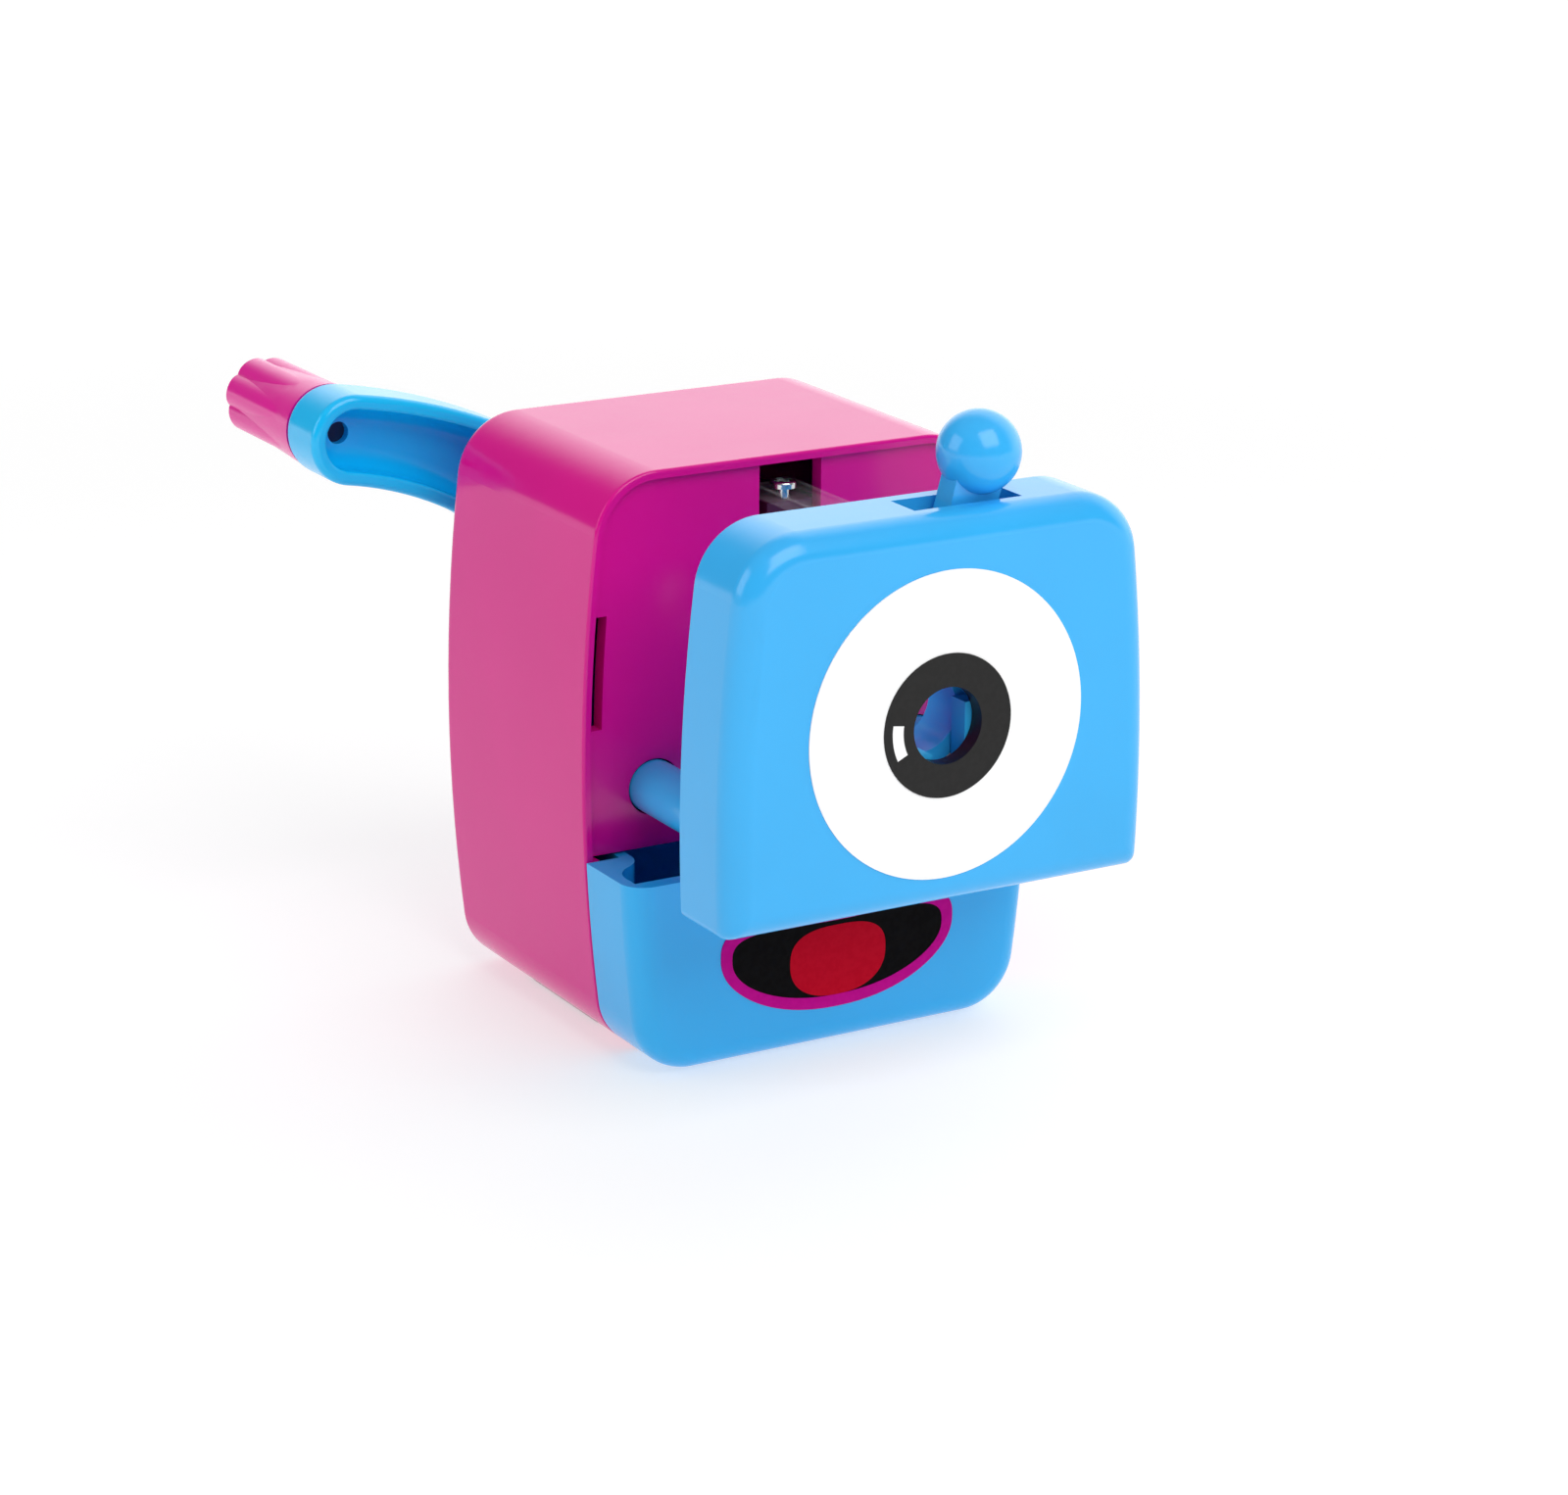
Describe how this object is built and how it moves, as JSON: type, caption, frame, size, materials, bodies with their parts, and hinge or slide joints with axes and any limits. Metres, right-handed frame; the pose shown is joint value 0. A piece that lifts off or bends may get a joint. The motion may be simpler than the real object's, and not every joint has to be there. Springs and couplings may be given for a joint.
{
  "type": "pencil sharpener",
  "caption": "Hand-crank desktop pencil sharpener with a pull-out spring-fed clamp carriage, planetary helical cutter and a shavings drawer.",
  "frame": {"origin": "centre of the underside of the rubber base pad, on the surface that the sharpener stands on", "axes": "-Z is the outward normal of the base, and -Y points out of the front, the way the pencil leaves the bore; +X is to the right seen from the front"},
  "size_m": [0.0687, 0.1069, 0.0804],
  "materials": {
    "housing_magenta": "moulded gloss, fine orange peel",
    "drawer_blue": "moulded gloss",
    "carriage_blue": "moulded gloss",
    "crank_blue": "moulded gloss",
    "handle_magenta": "moulded gloss",
    "disc_white": "smooth gloss",
    "ring_black": "smooth gloss",
    "mouth_lips": "printed gloss",
    "mouth_black": "printed gloss",
    "mouth_red": "printed gloss",
    "gear_white": "natural acetal",
    "gear_dark": "dark moulded nylon",
    "clear_plastic": "clear moulded plastic",
    "rubber": "matt rubber",
    "screw_steel": "zinc plated",
    "spring_steel": "drawn wire",
    "steel": "ground",
    "black_steel": "blackened",
    "cutter_steel": "hardened steel"
  },
  "bodies": {
    "housing": {"body_shell": "housing_magenta", "front_panel": "housing_magenta", "base_pad": "rubber", "ring_gear": "gear_dark", "gear_screws": "screw_steel", "tongue_screw": "screw_steel", "rear_bush": "gear_white", "feed_spring_left": "spring_steel", "feed_spring_right": "spring_steel"},
    "drawer": {"shavings_drawer": "drawer_blue"},
    "carriage": {"carriage_shell": "carriage_blue", "carriage_back_plate": "carriage_blue", "face_disc": "disc_white", "bore_ring": "ring_black", "carriage_screws": "screw_steel", "rod_screws": "screw_steel", "rod_washers": "screw_steel", "rod_end_screws": "screw_steel", "guide_tongue": "clear_plastic", "jaw_pins": "steel", "clamp_spring": "spring_steel", "guide_rod_left": "carriage_blue", "guide_rod_right": "carriage_blue"},
    "clamp_lever": {"cam_ring": "gear_white", "clamp_lever": "carriage_blue", "lever_screw": "screw_steel"},
    "jaw_upper_right": {"jaw_upper_right": "carriage_blue"},
    "jaw_upper_left": {"jaw_upper_left": "carriage_blue"},
    "jaw_lower": {"jaw_lower": "carriage_blue"},
    "crank": {"cutter_axle": "steel", "cutter_carrier": "gear_white", "crank_shaft": "steel", "shaft_clip": "spring_steel", "crank_arm": "crank_blue", "crank_screw": "screw_steel", "handle_pin": "black_steel"},
    "handle": {"crank_handle": "handle_magenta"},
    "cutter": {"helical_cutter": "cutter_steel", "cutter_pinion": "cutter_steel"}
  },
  "joints": [
    {"name": "carriage_slide", "type": "slide", "parent": "housing", "child": "carriage", "axis": [0, -1, 0], "range_m": [-0.0225, 0], "deforming": ["feed_spring_left", "feed_spring_right"]},
    {"name": "drawer_slide", "type": "slide", "parent": "housing", "child": "drawer", "axis": [0, -1, 0], "range_m": [0, 0.034]},
    {"name": "crank_spin", "type": "hinge", "parent": "housing", "child": "crank", "pos_m": [0, 0, 0.0465], "axis": [0, -1, 0], "continuous": true},
    {"name": "handle_spin", "type": "hinge", "parent": "crank", "child": "handle", "pos_m": [-0.03502, 0.045, 0.06623], "axis": [0, -1, 0], "continuous": true},
    {"name": "cutter_spin", "type": "hinge", "parent": "crank", "child": "cutter", "pos_m": [0, 0.04396, 0.0465], "axis": [0.1667, -0.9816, -0.0928], "continuous": true},
    {"name": "clamp_lever_turn", "type": "hinge", "parent": "carriage", "child": "clamp_lever", "pos_m": [0, -0.045, 0.0465], "axis": [0, -1, 0], "range_deg": [-4, 11], "stiffness_Nm_per_rad": 0.08, "deforming": ["clamp_spring"]},
    {"name": "jaw_upper_right_turn", "type": "hinge", "parent": "carriage", "child": "jaw_upper_right", "pos_m": [0.01299, -0.047, 0.054], "axis": [0, -1, 0], "range_deg": [-16.5, 6]},
    {"name": "jaw_upper_left_turn", "type": "hinge", "parent": "carriage", "child": "jaw_upper_left", "pos_m": [-0.01299, -0.047, 0.054], "axis": [0, -1, 0], "range_deg": [-16.5, 6]},
    {"name": "jaw_lower_turn", "type": "hinge", "parent": "carriage", "child": "jaw_lower", "pos_m": [0, -0.047, 0.0315], "axis": [0, -1, 0], "range_deg": [-16.5, 6]}
  ],
  "couplings": [
    {"joint": "cutter_spin", "follows": "crank_spin", "ratio": -3},
    {"joint": "jaw_upper_right_turn", "follows": "clamp_lever_turn", "ratio": -1.5},
    {"joint": "jaw_upper_left_turn", "follows": "clamp_lever_turn", "ratio": -1.5},
    {"joint": "jaw_lower_turn", "follows": "clamp_lever_turn", "ratio": -1.5}
  ]
}
